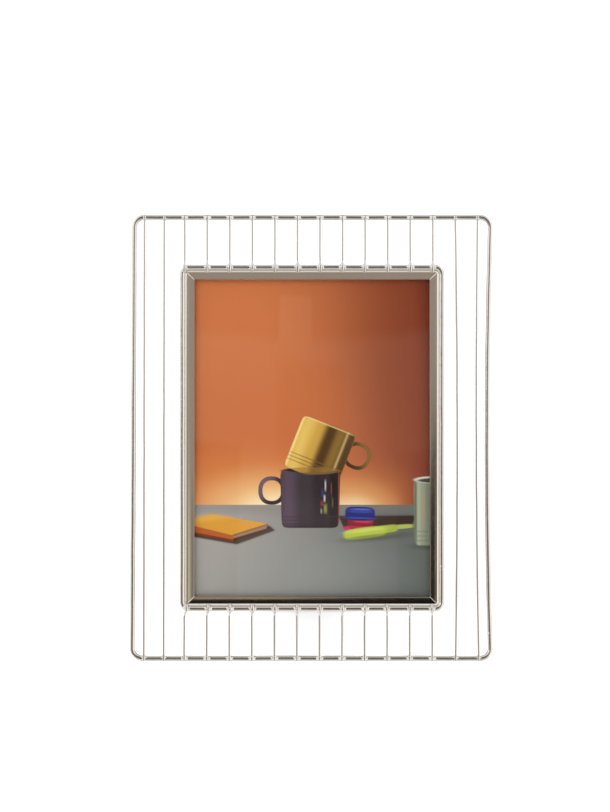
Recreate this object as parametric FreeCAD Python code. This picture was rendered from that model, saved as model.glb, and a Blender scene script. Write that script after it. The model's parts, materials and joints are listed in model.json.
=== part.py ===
import FreeCAD, Part
import math
import os

from FreeCAD import Vector

# Tabletop photo frame of welded wire: a heavy outer wire loop, a second heavy loop round a mitred
# metal moulding, sixteen thin upright wires welded to the front of both, and an easel leg behind.
#
# Everything is drawn in panel coordinates: x to the right, y backwards through the panel, z up the
# panel from the lowest edge of the outer loop. The finished panel is then leaned back on its leg.
# All lengths are millimetres and all angles are degrees.

CUT_MARGIN = 1.0  # how far a cutting shape reaches past what it cuts

# ---- Picture and the stack behind the glass ----
PHOTO_W = 150.0
PHOTO_H = 200.0
EDGE_COVER = 3.0  # how far the moulding covers each edge of the picture
GLASS_T = 2.0
PRINT_T = 0.3
CARD_T = 1.0
BOARD_T = 3.0

# ---- Moulding, seen in section from its outer wall inwards ----
RAIL_W = 5.7
SHOULDER_W = 1.5  # rounded outer edge, up to the crease where the bevel starts
SHOULDER_R = 1.2
BEVEL_ANGLE = 12.0
SHEET_T = 1.0
MOULDING_CORNER_R = 2.5
LIP_W = 1.6  # return at the back, under which the turn buttons lock
LIP_T = 1.0
LIP_PLAY = 0.2

# ---- Wires ----
WIRE_R = 1.7  # both heavy loops
THIN_R = 0.8  # uprights
WELD_SINK = 0.3  # how far an upright is pressed into a loop by its weld
OUTER_W = 218.5  # outer loop, centre line to centre line
OUTER_H = 270.2
OUTER_CORNER_R = 6.0
RIGHT_SIDE_BOW = 1.9  # the outer loop's right side leans inwards at mid height
INNER_LOOP_CORNER_R = 4.2
INNER_LOOP_FORWARD = 2.6  # inner loop's centre line, in front of the outer loop's

# ---- Uprights ----
BAR_COUNT = 12
BAR_PITCH = 13.8
FIRST_BAR_X = -78.2
BAR_RISE_START = 4.0  # where a bar leaves the outer loop's plane, measured from the inner loop
BAR_RISE_END = 0.8  # where it is flat again, over the inner loop
BAR_BEND_R = 1.4
BAR_OVERRUN = 3.2  # past the inner loop's centre line, onto the moulding's shoulder
FIRST_BAR_SHIFT = 1.3  # the lower bars step sideways as they rise, each less than the one before
SHIFT_RATIO = 0.67
SIDE_WIRES = (
    ("side_wire_left_outer", -102.9, 0.0),
    ("side_wire_left_inner", -90.7, 0.0),
    ("side_wire_right_inner", 87.6, 1.2),
    ("side_wire_right_outer", 101.3, -1.1),
)  # name, x at its ends, bow at mid height

# ---- Stance, leg and hinge ----
PANEL_LEAN = 15.0
LEG_OPEN = 30.0  # between leg and panel, when the leg is against its stop
HINGE_HEIGHT = 185.0
PIN_R = 1.25
PIN_PLAY = 0.05
PIN_HEAD_R = 1.9
PIN_HEAD_H = 0.6
KNUCKLE_R = 2.25
KNUCKLE_W = 10.0
KNUCKLE_GAP = 0.2
LEAF_T = 1.0
LEAF_H = 20.0
LEAF_CORNER_R = 3.0
BARREL_GAP = 0.16  # between the barrel and the backboard
STOP_GAP = 0.02
STOP_REACH = 8.0
LEG_T = 3.0
LEG_TOP_W = 36.0
LEG_FOOT_W = 60.0
LEG_TOP_GAP = 3.2
LEG_CORNER_R = 5.0
RIVET_R = 1.2
RIVET_HEAD_R = 2.4
RIVET_HEAD_H = 0.9
HOLE_PLAY = 0.02
RIVET_INSET = 0.62  # of a leaf's height or half width, from its middle to a rivet
THIRD_RIVET_OFFSET = 1.6 * RIVET_HEAD_R

# ---- Turn buttons ----
BUTTON_T = 0.8
BUTTON_PIVOT_X = 64.0
BUTTON_SPREAD = 50.0  # above and below the panel's middle
BUTTON_REACH = 12.4
BUTTON_BASE_R = 4.5
BUTTON_TIP_R = 3.0
BUTTON_TAB_BACK = 6.5
BUTTON_TAB_W = 5.0
BUTTON_TAB_H = 2.2
BUTTON_PIN_R = 1.5
BUTTON_HEAD_R = 2.8
BUTTON_HEAD_H = 0.8
BUTTON_PLAY = 0.05
BUTTON_LIFT = 0.1

# ---- Worked out from the above ----
MIDDLE = WIRE_R + OUTER_H / 2
OPENING_W = PHOTO_W - 2 * EDGE_COVER
OPENING_H = PHOTO_H - 2 * EDGE_COVER
MOULDING_W = OPENING_W + 2 * RAIL_W
MOULDING_H = OPENING_H + 2 * RAIL_W
INNER_W = MOULDING_W + 2 * WIRE_R
INNER_H = MOULDING_H + 2 * WIRE_R
THIN_ON_OUTER_Y = -(WIRE_R + THIN_R - WELD_SINK)
THIN_ON_INNER_Y = THIN_ON_OUTER_Y - INNER_LOOP_FORWARD
CREASE_Y = THIN_ON_INNER_Y + THIN_R
BEVEL_DROP = (RAIL_W - SHOULDER_W) * math.tan(math.radians(BEVEL_ANGLE))
SIGHT_T = SHEET_T / math.cos(math.radians(BEVEL_ANGLE))
GLASS_Y = CREASE_Y + BEVEL_DROP + SIGHT_T
PRINT_Y = GLASS_Y + GLASS_T
CARD_Y = PRINT_Y + PRINT_T
BOARD_Y = CARD_Y + CARD_T
BOARD_BACK = BOARD_Y + BOARD_T
BUTTON_Y = BOARD_BACK + BUTTON_LIFT
LIP_Y = BUTTON_Y + BUTTON_T + LIP_PLAY
RAIL_BACK = LIP_Y + LIP_T
HINGE_Y = BOARD_BACK + BARREL_GAP + KNUCKLE_R
LEAF_HALF_W = 1.5 * KNUCKLE_W


def extruded(points, direction):
    """A prism: the closed outline through points, pushed along direction."""
    outline = Part.makePolygon(points + [points[0]])
    return Part.Face(outline).extrude(direction)


def box(low, high):
    size = high - low
    return Part.makeBox(size.x, size.y, size.z, low)


def rod(start, end, radius):
    along = end - start
    return Part.makeCylinder(radius, along.Length, start, along)


def bent_path(points, radius):
    """Straight runs through points, with a tangent arc of this radius at every inner point."""
    edges = []
    start = points[0]
    for before, corner, after in zip(points, points[1:], points[2:]):
        arriving = (corner - before).normalize()
        leaving = (after - corner).normalize()
        turn = arriving.getAngle(leaving)
        setback = radius * math.tan(turn / 2)
        arc_start = corner - arriving * setback
        arc_end = corner + leaving * setback
        inwards = (leaving - arriving).normalize()
        arc_middle = corner + inwards * (radius / math.cos(turn / 2) - radius)
        edges.append(Part.LineSegment(start, arc_start).toShape())
        edges.append(Part.Arc(arc_start, arc_middle, arc_end).toShape())
        start = arc_end
    edges.append(Part.LineSegment(start, points[-1]).toShape())
    return Part.Wire(edges)


def rounded_at(plate, z, radius):
    """Rounds the plate's corners at one height. The corners' edges run along y."""
    corners = [
        edge
        for edge in plate.Edges
        if all(abs(vertex.Z - z) < 0.01 for vertex in edge.Vertexes)
        and abs(edge.tangentAt(edge.FirstParameter).y) > 0.99
    ]
    return plate.makeFillet(radius, corners)


def tube_along(path, radius):
    """Round wire swept along a path whose runs and arcs are tangent."""
    first = path.OrderedEdges[0]
    start = first.valueAt(first.FirstParameter)
    along = first.tangentAt(first.FirstParameter)
    if path.OrderedVertexes[0].Point.distanceToPoint(start) > 1e-6:
        start = first.valueAt(first.LastParameter)
        along = first.tangentAt(first.LastParameter).negative()
    section = Part.Wire(Part.makeCircle(radius, start, along))
    tube = path.makePipeShell([section], True, False)
    expected = math.pi * radius**2 * path.Length
    if not tube.isValid() or abs(tube.Volume - expected) > 0.01 * expected:
        raise ValueError("a wire was not swept cleanly")
    return tube


def corner_arc(centre, radius, start_angle):
    """A quarter turn in the panel's plane, anticlockwise from start_angle, as three points."""
    return [
        centre + Vector(radius * math.cos(a), 0, radius * math.sin(a))
        for a in (math.radians(start_angle + step) for step in (0, 45, 90))
    ]


def rounded_loop(width, height, corner_r, y, z_middle):
    """Closed rounded rectangle in the panel's plane, anticlockwise from its lower right corner."""
    dx = width / 2 - corner_r
    dz = height / 2 - corner_r
    corners = [
        corner_arc(Vector(sx * dx, y, z_middle + sz * dz), corner_r, angle)
        for sx, sz, angle in ((1, -1, -90), (1, 1, 0), (-1, 1, 90), (-1, -1, 180))
    ]
    edges = []
    for this, following in zip(corners, corners[1:] + corners[:1]):
        edges.append(Part.Arc(*this).toShape())
        edges.append(Part.LineSegment(this[2], following[0]).toShape())
    return Part.Wire(edges)


def outer_loop_path():
    """The outer loop's centre line. Its right side is one shallow arc that bows inwards."""
    half_w = OUTER_W / 2
    half_h = OUTER_H / 2
    middle = WIRE_R + half_h
    corner = OUTER_CORNER_R
    straight = half_h - corner
    bow_r = (straight**2 + RIGHT_SIDE_BOW**2) / (2 * RIGHT_SIDE_BOW)
    bow_x = half_w - RIGHT_SIDE_BOW + bow_r
    corner_x = bow_x - math.sqrt((bow_r + corner) ** 2 - straight**2)
    corner_turn = math.asin(straight / (bow_r + corner))
    touch_x = corner_x + corner * math.cos(corner_turn)
    touch_z = straight - corner * math.sin(corner_turn)

    def at(x, z):
        return Vector(x, 0, middle + z)

    def on_corner(side, angle):
        return at(
            corner_x + corner * math.cos(angle),
            side * (straight + corner * math.sin(angle)),
        )

    halfway = (math.pi / 2 - corner_turn) / 2
    left = -half_w + corner
    round_part = corner * math.sqrt(0.5)
    lower_right = Part.Arc(
        on_corner(-1, math.pi / 2), on_corner(-1, halfway), at(touch_x, -touch_z)
    )
    right = Part.Arc(
        at(touch_x, -touch_z), at(half_w - RIGHT_SIDE_BOW, 0), at(touch_x, touch_z)
    )
    upper_right = Part.Arc(
        at(touch_x, touch_z), on_corner(1, halfway), on_corner(1, math.pi / 2)
    )
    top = Part.LineSegment(on_corner(1, math.pi / 2), at(left, half_h))
    upper_left = Part.Arc(
        at(left, half_h),
        at(left - round_part, straight + round_part),
        at(-half_w, straight),
    )
    side = Part.LineSegment(at(-half_w, straight), at(-half_w, -straight))
    lower_left = Part.Arc(
        at(-half_w, -straight),
        at(left - round_part, -straight - round_part),
        at(left, -half_h),
    )
    bottom = Part.LineSegment(at(left, -half_h), on_corner(-1, math.pi / 2))
    pieces = (lower_right, right, upper_right, top, upper_left, side, lower_left, bottom)
    return Part.Wire([piece.toShape() for piece in pieces])


def side_wire(x, bow):
    """A full-height upright, welded to the outer loop's front at its top and bottom."""
    foot = Vector(x, THIN_ON_OUTER_Y, 0)
    head = Vector(x, THIN_ON_OUTER_Y, OUTER_H + 2 * WIRE_R)
    if bow == 0:
        return rod(foot, head, THIN_R)
    waist = Vector(x + bow, THIN_ON_OUTER_Y, WIRE_R + OUTER_H / 2)
    return tube_along(Part.Wire(Part.Arc(foot, waist, head).toShape()), THIN_R)


def bar(x, shift, side):
    """A short upright from the outer loop to the inner one: side is 1 above and -1 below."""
    end_z = MIDDLE + side * (OUTER_H / 2 + WIRE_R)
    loop_z = MIDDLE + side * INNER_H / 2
    points = [
        Vector(x, THIN_ON_OUTER_Y, end_z),
        Vector(x, THIN_ON_OUTER_Y, loop_z + side * BAR_RISE_START),
        Vector(x + shift, THIN_ON_INNER_Y, loop_z + side * BAR_RISE_END),
        Vector(x + shift, THIN_ON_INNER_Y, loop_z - side * BAR_OVERRUN),
    ]
    return tube_along(bent_path(points, BAR_BEND_R), THIN_R)


def rail_section():
    """The moulding's section as a face: distance inwards from the outer wall, and depth."""
    inner_crease = SHOULDER_W + SHEET_T / 4
    slope = math.tan(math.radians(BEVEL_ANGLE))
    inner_crease_y = GLASS_Y - (RAIL_W - inner_crease) * slope

    def at(inwards, y):
        return Vector(inwards, y, 0)

    round_45 = SHOULDER_R * (1 - math.sqrt(0.5))
    shoulder = Part.Arc(
        at(0, CREASE_Y + SHOULDER_R),
        at(round_45, CREASE_Y + round_45),
        at(SHOULDER_R, CREASE_Y),
    ).toShape()
    rest = Part.makePolygon(
        [
            at(SHOULDER_R, CREASE_Y),
            at(SHOULDER_W, CREASE_Y),
            at(RAIL_W, CREASE_Y + BEVEL_DROP),
            at(RAIL_W, GLASS_Y),
            at(inner_crease, inner_crease_y),
            at(SHEET_T, inner_crease_y + SHEET_T),
            at(SHEET_T, LIP_Y),
            at(SHEET_T + LIP_W, LIP_Y),
            at(SHEET_T + LIP_W, RAIL_BACK),
            at(0, RAIL_BACK),
            at(0, CREASE_Y + SHOULDER_R),
        ]
    )
    return Part.Face(Part.Wire([shoulder] + rest.Edges))


def rail(turn, across, along):
    """One mitred side of the moulding, turned into place from the left-hand side."""
    length = along + 2 * RAIL_W
    blank = rail_section()
    blank.translate(Vector(-across / 2, 0, -length / 2))
    blank = blank.extrude(Vector(0, 0, length))
    depth = RAIL_BACK - CREASE_Y + 2 * CUT_MARGIN
    front = CREASE_Y - CUT_MARGIN
    outer = across / 2
    half = along / 2
    reach = min(outer, half)
    mitre = extruded(
        [
            Vector(-outer, front, -half),
            Vector(-outer, front, half),
            Vector(-outer + reach, front, half - reach),
            Vector(-outer + reach, front, -half + reach),
        ],
        Vector(0, depth, 0),
    )
    piece = blank.common(mitre)
    corner = Part.makeBox(across, depth, along, Vector(-outer, front, -half))
    uprights = [
        edge
        for edge in corner.Edges
        if abs(edge.Vertexes[0].Y - edge.Vertexes[-1].Y) > depth / 2
    ]
    piece = piece.common(corner.makeFillet(MOULDING_CORNER_R, uprights))
    piece.rotate(Vector(0, 0, 0), Vector(0, 1, 0), turn)
    piece.translate(Vector(0, 0, MIDDLE))
    return piece


def sheet_part(width, height, y, thickness):
    """A flat rectangular layer of the picture stack."""
    low = Vector(-width / 2, y, MIDDLE - height / 2)
    return box(low, low + Vector(width, thickness, height))


def rivet(x, z, y_start, y_seat, shank_r, head_r, head_h):
    """A rivet along y, with its domed head on the far side of y_seat."""
    shank = rod(Vector(x, y_start, z), Vector(x, y_seat, z), shank_r)
    dome_r = (head_r**2 + head_h**2) / (2 * head_h)
    dome = Part.makeSphere(dome_r, Vector(x, y_seat + head_h - dome_r, z))
    slab = Part.makeCylinder(dome_r, head_h, Vector(x, y_seat, z), Vector(0, 1, 0))
    return shank.fuse(dome.common(slab)).removeSplitter()


def button_places():
    """Name, side and pivot of each turn button."""
    for row, z in (("lower", MIDDLE - BUTTON_SPREAD), ("upper", MIDDLE + BUTTON_SPREAD)):
        for column, side in (("left", -1), ("right", 1)):
            yield f"turn_button_{row}_{column}", side, Vector(side * BUTTON_PIVOT_X, 0, z)


def turn_button(side, pivot):
    """A stamped steel latch: its tip lies under the moulding's lip, its bent tab is for a finger."""
    reach = BUTTON_REACH - BUTTON_TIP_R
    pinch = math.acos((BUTTON_BASE_R - BUTTON_TIP_R) / reach)

    def on_circle(centre_x, radius, angle):
        return Vector(centre_x + radius * math.cos(angle), 0, radius * math.sin(angle))

    flank = on_circle(0, BUTTON_BASE_R, pinch), on_circle(reach, BUTTON_TIP_R, pinch)
    mirrored = [Vector(p.x, 0, -p.z) for p in flank]
    outline = Part.Wire(
        [
            Part.LineSegment(flank[0], flank[1]).toShape(),
            Part.Arc(flank[1], Vector(BUTTON_REACH, 0, 0), mirrored[1]).toShape(),
            Part.LineSegment(mirrored[1], mirrored[0]).toShape(),
            Part.Arc(mirrored[0], Vector(-BUTTON_BASE_R, 0, 0), flank[0]).toShape(),
        ]
    )
    plate = Part.Face(outline).extrude(Vector(0, BUTTON_T, 0))
    half_tab = BUTTON_TAB_W / 2
    plate = plate.fuse(
        box(Vector(-BUTTON_TAB_BACK, 0, -half_tab), Vector(0, BUTTON_T, half_tab))
    )
    tab_top = BUTTON_T + BUTTON_TAB_H
    tab = box(
        Vector(-BUTTON_TAB_BACK, 0, -half_tab),
        Vector(-BUTTON_TAB_BACK + BUTTON_T, tab_top, half_tab),
    )
    hole_end = Vector(0, BUTTON_T + CUT_MARGIN, 0)
    hole = rod(Vector(0, -CUT_MARGIN, 0), hole_end, BUTTON_PIN_R + BUTTON_PLAY)
    button = plate.fuse(tab).removeSplitter().cut(hole)
    if side < 0:
        button.rotate(Vector(0, 0, 0), Vector(0, 1, 0), 180)
    button.translate(Vector(pivot.x, BUTTON_Y, pivot.z))
    return button


def hinge_line(x):
    return Vector(x, HINGE_Y, HINGE_HEIGHT)


def knuckle(x_from, x_to):
    return rod(hinge_line(x_from), hinge_line(x_to), KNUCKLE_R)


def pin_hole():
    reach = LEAF_HALF_W + CUT_MARGIN
    return rod(hinge_line(-reach), hinge_line(reach), PIN_R + PIN_PLAY)


def rivet_spots(z):
    """A hinge leaf's three rivets: two at one height and one further from the pin."""
    further = z + math.copysign(THIRD_RIVET_OFFSET, z - HINGE_HEIGHT)
    side = LEAF_HALF_W * RIVET_INSET
    return [(-side, z), (side, z), (0.0, further)]


FIXED_SPOTS = rivet_spots(HINGE_HEIGHT + LEAF_H * RIVET_INSET)
MOVING_SPOTS = rivet_spots(HINGE_HEIGHT - LEAF_H * RIVET_INSET)


def rivet_holes(spots, y_from, y_to, radius):
    return Part.makeCompound(
        [rod(Vector(x, y_from, z), Vector(x, y_to, z), radius) for x, z in spots]
    )


def fixed_leaf():
    """The hinge half on the backboard, which reaches up from the pin and carries the outer knuckles."""
    inner = KNUCKLE_W / 2
    top = HINGE_HEIGHT + LEAF_H
    leaf_back = BOARD_BACK + LEAF_T
    plate = box(
        Vector(-LEAF_HALF_W, BOARD_BACK, HINGE_HEIGHT),
        Vector(LEAF_HALF_W, leaf_back, top),
    )
    plate = rounded_at(plate, top, LEAF_CORNER_R)
    notch = box(
        Vector(-inner, BOARD_BACK - CUT_MARGIN, HINGE_HEIGHT - CUT_MARGIN),
        Vector(inner, leaf_back + CUT_MARGIN, HINGE_HEIGHT + KNUCKLE_R + KNUCKLE_GAP),
    )
    leaf = plate.fuse([knuckle(-LEAF_HALF_W, -inner), knuckle(inner, LEAF_HALF_W)])
    leaf = leaf.cut([notch, pin_hole()])
    drilled = BOARD_BACK - CUT_MARGIN, leaf_back + CUT_MARGIN
    return leaf.cut(rivet_holes(FIXED_SPOTS, *drilled, RIVET_R + HOLE_PLAY))


def moving_leaf():
    """The hinge half on the leg, drawn folded. Its heel meets the fixed leaf when the leg is open."""
    inner = KNUCKLE_W / 2 - KNUCKLE_GAP
    wide_top = HINGE_HEIGHT - KNUCKLE_R - KNUCKLE_GAP * 2
    bottom = HINGE_HEIGHT - LEAF_H
    plate = box(
        Vector(-LEAF_HALF_W, HINGE_Y - LEAF_T, bottom),
        Vector(LEAF_HALF_W, HINGE_Y, wide_top),
    )
    plate = rounded_at(plate, bottom, LEAF_CORNER_R)
    neck = box(
        Vector(-inner, HINGE_Y - LEAF_T, wide_top - CUT_MARGIN),
        Vector(inner, HINGE_Y, HINGE_HEIGHT),
    )
    heel = box(
        Vector(-inner, BOARD_BACK + LEAF_T + STOP_GAP, HINGE_HEIGHT),
        Vector(inner, BOARD_BACK + 2 * LEAF_T, HINGE_HEIGHT + STOP_REACH),
    )
    heel.rotate(hinge_line(0), Vector(1, 0, 0), -LEG_OPEN)
    leaf = plate.fuse([neck, heel, knuckle(-inner, inner)])
    drilled = HINGE_Y - LEAF_T - CUT_MARGIN, HINGE_Y + CUT_MARGIN
    return leaf.cut([pin_hole(), rivet_holes(MOVING_SPOTS, *drilled, RIVET_R + HOLE_PLAY)])


def hinge_pin():
    """A plain pin with a thin head at each end of the barrel."""
    pin = rod(hinge_line(-LEAF_HALF_W), hinge_line(LEAF_HALF_W), PIN_R)
    head_end = LEAF_HALF_W + PIN_HEAD_H
    heads = [
        rod(hinge_line(side * LEAF_HALF_W), hinge_line(side * head_end), PIN_HEAD_R)
        for side in (-1, 1)
    ]
    return pin.fuse(heads).removeSplitter()


def leg_board():
    """The tapered easel leg, drawn folded and a little too long: its foot is cut to the floor later."""
    top = HINGE_HEIGHT - LEG_TOP_GAP
    outline = [
        Vector(-LEG_TOP_W / 2, HINGE_Y, top),
        Vector(LEG_TOP_W / 2, HINGE_Y, top),
        Vector(LEG_FOOT_W / 2, HINGE_Y, -LEG_T),
        Vector(-LEG_FOOT_W / 2, HINGE_Y, -LEG_T),
    ]
    board = rounded_at(extruded(outline, Vector(0, LEG_T, 0)), top, LEG_CORNER_R)
    drilled = HINGE_Y - CUT_MARGIN, HINGE_Y + LEG_T + CUT_MARGIN
    return board.cut(rivet_holes(MOVING_SPOTS, *drilled, RIVET_R + HOLE_PLAY))


def picture_stack():
    """Glass, print, card and backboard, from front to back."""
    backboard = sheet_part(PHOTO_W, PHOTO_H, BOARD_Y, BOARD_T)
    drilled = BOARD_Y - CUT_MARGIN, BOARD_BACK + CUT_MARGIN
    pivots = [(pivot.x, pivot.z) for _, _, pivot in button_places()]
    backboard = backboard.cut(
        [
            rivet_holes(FIXED_SPOTS, *drilled, RIVET_R + HOLE_PLAY),
            rivet_holes(pivots, *drilled, BUTTON_PIN_R + HOLE_PLAY),
        ]
    )
    return {
        "glass_pane": sheet_part(PHOTO_W, PHOTO_H, GLASS_Y, GLASS_T),
        "photo_print": sheet_part(PHOTO_W, PHOTO_H, PRINT_Y, PRINT_T),
        "backing_card": sheet_part(PHOTO_W, PHOTO_H, CARD_Y, CARD_T),
        "backboard": backboard,
    }


def in_runs(loop, width, height, corner_r):
    """A loop of wire as four runs and four corners, face to face, so that its middle stays open."""
    run_x = width / 2 - corner_r
    run_z = height / 2 - corner_r
    far_x = width / 2 + WIRE_R + CUT_MARGIN
    far_z = height / 2 + WIRE_R + CUT_MARGIN
    depth = INNER_LOOP_FORWARD + WIRE_R + CUT_MARGIN
    across = [-far_x, -run_x, run_x, far_x]
    up = [-far_z, -run_z, run_z, far_z]
    solids = []
    for left, right in zip(across, across[1:]):
        for bottom, top in zip(up, up[1:]):
            low = Vector(left, -depth, MIDDLE + bottom)
            high = Vector(right, depth, MIDDLE + top)
            solids += loop.common(box(low, high)).Solids
    return Part.makeCompound(solids)


def wirework():
    """The two heavy loops and all the thin uprights."""
    inner_path = rounded_loop(
        INNER_W, INNER_H, INNER_LOOP_CORNER_R, -INNER_LOOP_FORWARD, MIDDLE
    )
    outer = tube_along(outer_loop_path(), WIRE_R)
    inner = tube_along(inner_path, WIRE_R)
    parts = {
        "outer_wire_loop": in_runs(outer, OUTER_W, OUTER_H, OUTER_CORNER_R),
        "inner_wire_loop": in_runs(inner, INNER_W, INNER_H, INNER_LOOP_CORNER_R),
    }
    for name, x, bow in SIDE_WIRES:
        parts[name] = side_wire(x, bow)
    for index in range(BAR_COUNT):
        x = FIRST_BAR_X + index * BAR_PITCH
        shift = FIRST_BAR_SHIFT * SHIFT_RATIO**index
        parts[f"top_bar_{index + 1:02d}"] = bar(x, 0.0, 1)
        parts[f"bottom_bar_{index + 1:02d}"] = bar(x, shift, -1)
    return parts


def moulding():
    """Four mitred rails."""
    return {
        "left_rail": rail(0, MOULDING_W, MOULDING_H),
        "top_rail": rail(90, MOULDING_H, MOULDING_W),
        "right_rail": rail(180, MOULDING_W, MOULDING_H),
        "bottom_rail": rail(-90, MOULDING_H, MOULDING_W),
    }


def fixed_hardware():
    """What is riveted to the backboard."""
    leaf_rivets = [
        rivet(x, z, BOARD_Y, BOARD_BACK + LEAF_T, RIVET_R, RIVET_HEAD_R, RIVET_HEAD_H)
        for x, z in FIXED_SPOTS
    ]
    seat = BUTTON_Y + BUTTON_T + BUTTON_PLAY
    button_rivets = [
        rivet(pivot.x, pivot.z, BOARD_Y, seat, BUTTON_PIN_R, BUTTON_HEAD_R, BUTTON_HEAD_H)
        for _, _, pivot in button_places()
    ]
    return {
        "hinge_leaf_fixed": fixed_leaf(),
        "hinge_pin": hinge_pin(),
        "hinge_rivets_fixed": Part.makeCompound(leaf_rivets),
        "turn_button_rivets": Part.makeCompound(button_rivets),
    }


def leg_pieces():
    """What swings with the leg, opened to its stop."""
    leg_back = HINGE_Y + LEG_T
    rivets = [
        rivet(x, z, HINGE_Y - LEAF_T, leg_back, RIVET_R, RIVET_HEAD_R, RIVET_HEAD_H)
        for x, z in MOVING_SPOTS
    ]
    parts = {
        "leg_board": leg_board(),
        "hinge_leaf_moving": moving_leaf(),
        "hinge_rivets_moving": Part.makeCompound(rivets),
    }
    for shape in parts.values():
        shape.rotate(hinge_line(0), Vector(1, 0, 0), LEG_OPEN)
    return parts


def main():
    parts = {}
    parts.update(wirework())
    parts.update(moulding())
    parts.update(picture_stack())
    parts.update(fixed_hardware())
    parts.update(leg_pieces())
    for name, side, pivot in button_places():
        parts[name] = turn_button(side, pivot)

    for shape in parts.values():
        shape.rotate(Vector(0, 0, WIRE_R), Vector(1, 0, 0), -PANEL_LEAN)
    below_floor = box(Vector(-OUTER_W, -OUTER_H, -OUTER_H), Vector(OUTER_W, OUTER_H, 0))
    parts["leg_board"] = parts["leg_board"].cut(below_floor)

    whole = Part.makeCompound(list(parts.values())).optimalBoundingBox()
    to_middle = Vector(-whole.Center.x, -whole.Center.y, 0)
    pin = parts["hinge_pin"]
    pin_middle = pin.optimalBoundingBox().Center + to_middle
    print("shift to the middle", round(to_middle.x, 4), round(to_middle.y, 4))
    print("lowest point", round(whole.ZMin, 5), "size", whole.XLength, whole.YLength, whole.ZMax)
    print("hinge pin at", round(pin_middle.y, 4), round(pin_middle.z, 4))

    os.makedirs("parts", exist_ok=True)
    for name, shape in parts.items():
        shape.translate(to_middle)
        shape.exportStep(f"parts/{name}.step")


main()
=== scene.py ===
import json
import math
import random

import bmesh
import bpy
import numpy as np
from mathutils import Matrix, Vector


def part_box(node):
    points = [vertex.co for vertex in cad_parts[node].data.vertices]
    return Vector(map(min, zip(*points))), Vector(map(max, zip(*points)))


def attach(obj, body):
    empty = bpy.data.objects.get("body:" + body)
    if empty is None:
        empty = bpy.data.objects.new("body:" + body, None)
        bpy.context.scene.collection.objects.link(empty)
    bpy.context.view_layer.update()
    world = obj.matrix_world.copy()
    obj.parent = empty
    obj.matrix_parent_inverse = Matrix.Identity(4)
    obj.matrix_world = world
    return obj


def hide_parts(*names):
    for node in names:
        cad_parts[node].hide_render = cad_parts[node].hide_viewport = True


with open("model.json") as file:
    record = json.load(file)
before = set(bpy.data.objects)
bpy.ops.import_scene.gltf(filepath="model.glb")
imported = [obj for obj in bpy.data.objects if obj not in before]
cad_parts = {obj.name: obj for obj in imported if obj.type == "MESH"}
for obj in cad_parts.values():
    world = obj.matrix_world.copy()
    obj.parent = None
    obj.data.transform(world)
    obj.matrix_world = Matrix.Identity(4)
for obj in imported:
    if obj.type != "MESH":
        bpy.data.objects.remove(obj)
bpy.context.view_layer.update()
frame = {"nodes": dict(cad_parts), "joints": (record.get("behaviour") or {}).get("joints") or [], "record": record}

# A tabletop photo frame of nickel-plated wire. Shapes are worked out in panel millimetres: x to the
# right, y backwards through the panel, z up the panel from the outer loop's lowest edge.

MM = 0.001
HEAVY_R = 1.7  # both loops
HEAVY_SIDES = 28
THIN_R = 0.8  # uprights
THIN_SIDES = 18
CORNER_R = {"outer_wire_loop": 6.0, "inner_wire_loop": 4.2}
BUTT_WELD_Z = {"outer_wire_loop": 18.0, "inner_wire_loop": 58.9}
RIGHT_SIDE_BOW = 1.9
LEFT_SIDE_LEAN = (-0.9, 0.4)  # at its foot and at its top
SIDE_WIRES = {
    "side_wire_left_outer": (0.0, (0.0, 0.4)),
    "side_wire_left_inner": (0.0, (-0.1, 0.3)),
    "side_wire_right_inner": (1.2, (0.3, 0.0)),
    "side_wire_right_outer": (-1.1, (0.8, 0.0)),
}  # bow at mid height, then the lean at the foot and at the top
BAR_RISE_START = 3.8  # above or below the inner loop's middle
BAR_RISE_END = 0.8
BAR_BEND_RS = (7.0, 1.4)
TOP_BARS_RIGHT = 0.3
BAR_SWAY = 0.3  # how far a bar's front end strays sideways
WELDED_END = 0.6  # how much of an upright's end has melted into the outer loop
RAIL_CORNER_R = 2.5

JOINTS = {joint["name"]: joint for joint in frame["joints"]}
BACKWARDS = Vector(JOINTS["turn_button_upper_left_swivel"]["axis"])
LEAN = math.atan2(-BACKWARDS.z, BACKWARDS.y)
LEG_OPEN = math.radians(JOINTS["easel_leg_hinge"]["range_deg"][1])
LEG_BACKWARDS = Matrix.Rotation(LEG_OPEN, 3, "X") @ BACKWARDS


def panel_matrix():
    """From panel millimetres to the row frame's metres."""
    low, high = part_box("outer_wire_loop")
    foot = Vector(((low.x + high.x) / 2, low.y + HEAVY_R * MM, HEAVY_R * MM))
    return (
        Matrix.Translation(foot)
        @ Matrix.Rotation(-LEAN, 4, "X")
        @ Matrix.Scale(MM, 4)
        @ Matrix.Translation((0, 0, -HEAVY_R))
    )


PANEL = panel_matrix()
TO_PANEL = PANEL.inverted()


def box_in(node):
    """A CAD node's lowest and highest corners, in panel millimetres."""
    points = np.array([TO_PANEL @ v.co for v in frame["nodes"][node].data.vertices])
    return points.min(0), points.max(0)


# ---- Shader helpers ----


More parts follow.
